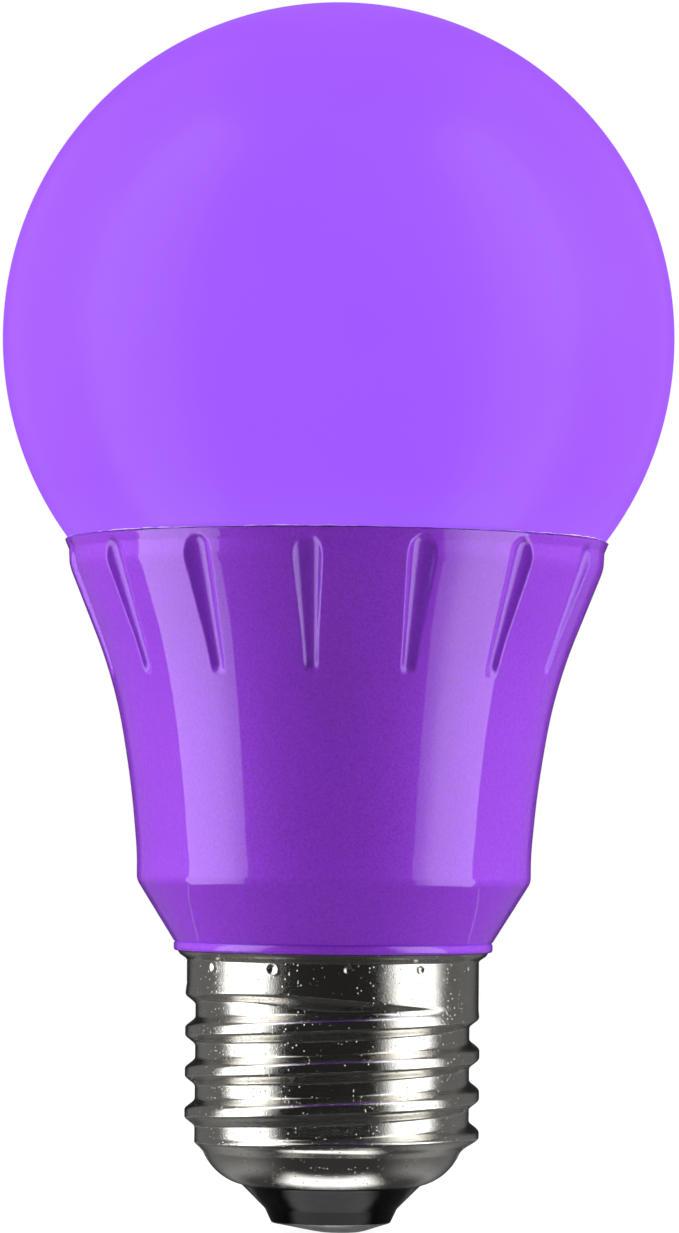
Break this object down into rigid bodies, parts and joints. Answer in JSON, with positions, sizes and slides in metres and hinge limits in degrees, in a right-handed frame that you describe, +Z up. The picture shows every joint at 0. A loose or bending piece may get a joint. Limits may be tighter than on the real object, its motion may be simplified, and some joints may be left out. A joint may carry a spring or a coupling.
{
  "type": "coloured led bulb",
  "caption": "Pear-shaped light bulb with a coloured round globe, a fluted flared housing and a screw cap with a centre contact.",
  "frame": {"origin": "on the lamp's axis, at the bottom of the centre contact", "axes": "+Z up the lamp's axis from the cap to the globe, -Y towards the front that the picture shows, +X to its right"},
  "size_m": [0.06, 0.06, 0.1095],
  "materials": {
    "globe": "satin",
    "housing": "gloss",
    "seam_bead": "gloss",
    "screw_shell": "polished nickel",
    "insulator": "gloss",
    "contact": "dull"
  },
  "bodies": {
    "root": {"globe": "globe", "housing": "housing", "seam_bead": "seam_bead", "screw_shell": "screw_shell", "insulator": "insulator", "contact": "contact"}
  },
  "joints": []
}
